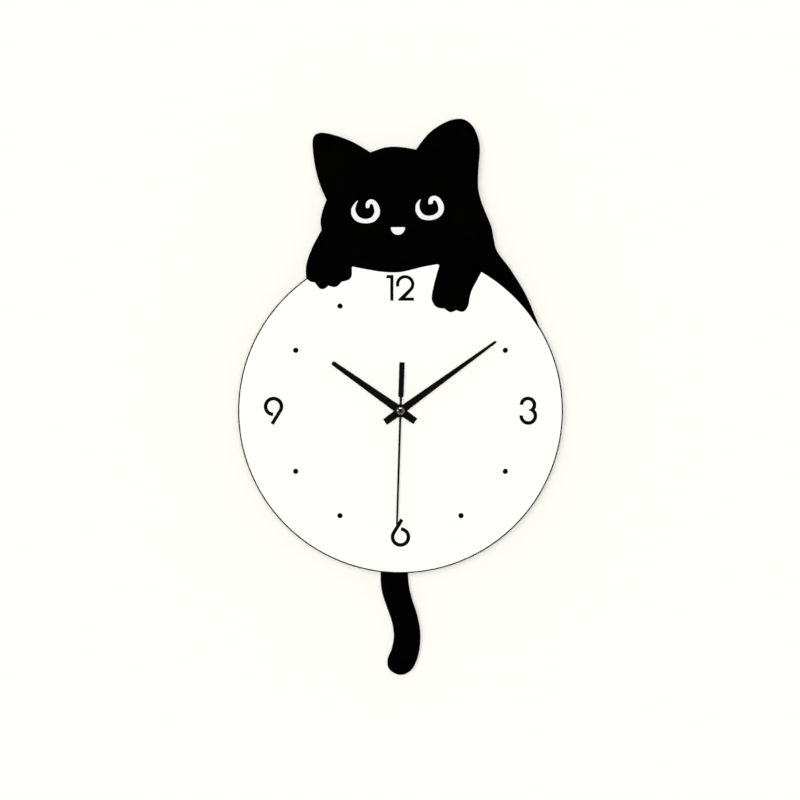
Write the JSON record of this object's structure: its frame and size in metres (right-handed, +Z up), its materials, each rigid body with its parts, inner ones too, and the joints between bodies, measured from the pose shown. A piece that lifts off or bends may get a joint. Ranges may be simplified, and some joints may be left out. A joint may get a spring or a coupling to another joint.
{
  "type": "wall clock",
  "caption": "Black cat leaning over a round white wall clock dial with numerals and dots, three hands and a swinging tail pendulum.",
  "frame": {"origin": "where the nail bears on the top edge of the hanger slot, in the plane of the wall, 42 mm above the hand arbor", "axes": "+Z up the wall, +Y into the wall (the dial faces -Y), +X to the right as seen from the front"},
  "size_m": [0.3, 0.0368, 0.5143],
  "materials": {
    "black_acrylic": "polished black acrylic sheet, cut edge",
    "white_facing": "thin white facing, satin",
    "white_print": "thin white inlay, satin",
    "black_ink": "printed black",
    "hand_metal": "stamped aluminium, satin black lacquer",
    "chrome_boss": "dark chromed cap",
    "brass_nut": "turned brass",
    "steel": "bright zinc-plated steel",
    "aluminium_rod": "stamped aluminium strip",
    "rubber_pad": "soft black rubber",
    "case_plastic": "moulded black ABS, fine grain",
    "gear_plastic": "natural acetal",
    "magnet": "sintered ferrite",
    "copper_coil": "enamelled copper wire winding",
    "circuit_board": "green circuit board",
    "battery_sleeve": null
  },
  "bodies": {
    "case": {"dial_panel": "black_acrylic", "dial_face": "white_facing", "eye_left": "white_print", "eye_right": "white_print", "mouth": "white_print", "numeral_12_one": "black_ink", "numeral_12_two": "black_ink", "numeral_3": "black_ink", "numeral_6": "black_ink", "numeral_9": "black_ink", "hour_dot_2": "black_ink", "hour_dot_4": "black_ink", "hour_dot_5": "black_ink", "hour_dot_7": "black_ink", "hour_dot_8": "black_ink", "hour_dot_10": "black_ink", "hour_dot_11": "black_ink", "arbor_nut": "brass_nut", "dial_washer": "steel", "rubber_washer": "rubber_pad", "movement_housing": "case_plastic", "rear_cover": "case_plastic", "cover_screw_1": "steel", "cover_screw_2": "steel", "hanger": "steel", "hanger_screw_1": "steel", "hanger_screw_2": "steel", "pivot_pin": "steel", "pivot_clip": "steel", "stator": "steel", "drive_coil": "copper_coil", "pendulum_coil": "copper_coil", "circuit_board": "circuit_board", "pendulum_board": "circuit_board", "quartz_crystal": "steel", "contact_plate": "steel", "contact_spring": "steel"},
    "minute_hand_assembly": {"minute_hand": "hand_metal", "centre_wheel": "gear_plastic"},
    "hour_hand_assembly": {"hour_hand": "hand_metal", "hour_wheel": "gear_plastic"},
    "motion_wheel_body": {"motion_wheel": "gear_plastic"},
    "setting_knob_body": {"setting_knob": "case_plastic"},
    "third_pinion_body": {"third_pinion": "steel"},
    "second_hand_assembly": {"second_hand": "hand_metal", "second_hand_boss": "chrome_boss", "second_wheel": "gear_plastic"},
    "third_wheel_body": {"third_wheel": "gear_plastic"},
    "fifth_wheel_body": {"fifth_wheel": "gear_plastic"},
    "rotor": {"rotor_pinion": "gear_plastic", "rotor_magnet": "magnet"},
    "tail_pendulum": {"pendulum_lever": "case_plastic", "pendulum_magnet": "magnet", "pendulum_rod": "aluminium_rod", "tail": "black_acrylic", "tail_rivet_1": "steel", "tail_rivet_2": "steel"},
    "battery_body": {"battery": "battery_sleeve"}
  },
  "joints": [
    {"name": "minute_hand_turn", "type": "hinge", "parent": "case", "child": "minute_hand_assembly", "pos_m": [0, -0.025, -0.042], "axis": [0, 1, 0], "continuous": true},
    {"name": "hour_hand_turn", "type": "hinge", "parent": "case", "child": "hour_hand_assembly", "pos_m": [0, -0.025, -0.042], "axis": [0, 1, 0], "continuous": true},
    {"name": "motion_wheel_turn", "type": "hinge", "parent": "case", "child": "motion_wheel_body", "pos_m": [0.00693, -0.0186, -0.046], "axis": [0, 1, 0], "continuous": true},
    {"name": "setting_knob_turn", "type": "hinge", "parent": "case", "child": "setting_knob_body", "pos_m": [0.01481, -0.0035, -0.04461], "axis": [0, 1, 0], "continuous": true},
    {"name": "third_pinion_turn", "type": "hinge", "parent": "case", "child": "third_pinion_body", "pos_m": [-0.01015, -0.0172, -0.03831], "axis": [0, 1, 0], "continuous": true},
    {"name": "second_hand_turn", "type": "hinge", "parent": "case", "child": "second_hand_assembly", "pos_m": [0, -0.02, -0.042], "axis": [0, 1, 0], "continuous": true},
    {"name": "third_wheel_turn", "type": "hinge", "parent": "case", "child": "third_wheel_body", "pos_m": [-0.01015, -0.0158, -0.03831], "axis": [0, 1, 0], "continuous": true},
    {"name": "fifth_wheel_turn", "type": "hinge", "parent": "case", "child": "fifth_wheel_body", "pos_m": [0.00248, -0.013, -0.03273], "axis": [0, 1, 0], "continuous": true},
    {"name": "rotor_turn", "type": "hinge", "parent": "case", "child": "rotor", "pos_m": [0.00919, -0.0115, -0.03028], "axis": [0, 1, 0], "continuous": true},
    {"name": "pendulum_swing", "type": "hinge", "parent": "case", "child": "tail_pendulum", "pos_m": [0, -0.01, -0.076], "axis": [0, 1, 0], "range_deg": [-8, 8]},
    {"name": "battery_slide", "type": "slide", "parent": "case", "child": "battery_body", "axis": [0, 1, 0], "range_m": [0, 0.021]}
  ],
  "couplings": [
    {"joint": "hour_hand_turn", "follows": "minute_hand_turn", "ratio": 0.083333},
    {"joint": "motion_wheel_turn", "follows": "minute_hand_turn", "ratio": -0.33333},
    {"joint": "setting_knob_turn", "follows": "minute_hand_turn", "ratio": 1},
    {"joint": "third_pinion_turn", "follows": "minute_hand_turn", "ratio": -8},
    {"joint": "third_wheel_turn", "follows": "second_hand_turn", "ratio": -0.13333},
    {"joint": "fifth_wheel_turn", "follows": "second_hand_turn", "ratio": -5},
    {"joint": "rotor_turn", "follows": "second_hand_turn", "ratio": 30}
  ]
}
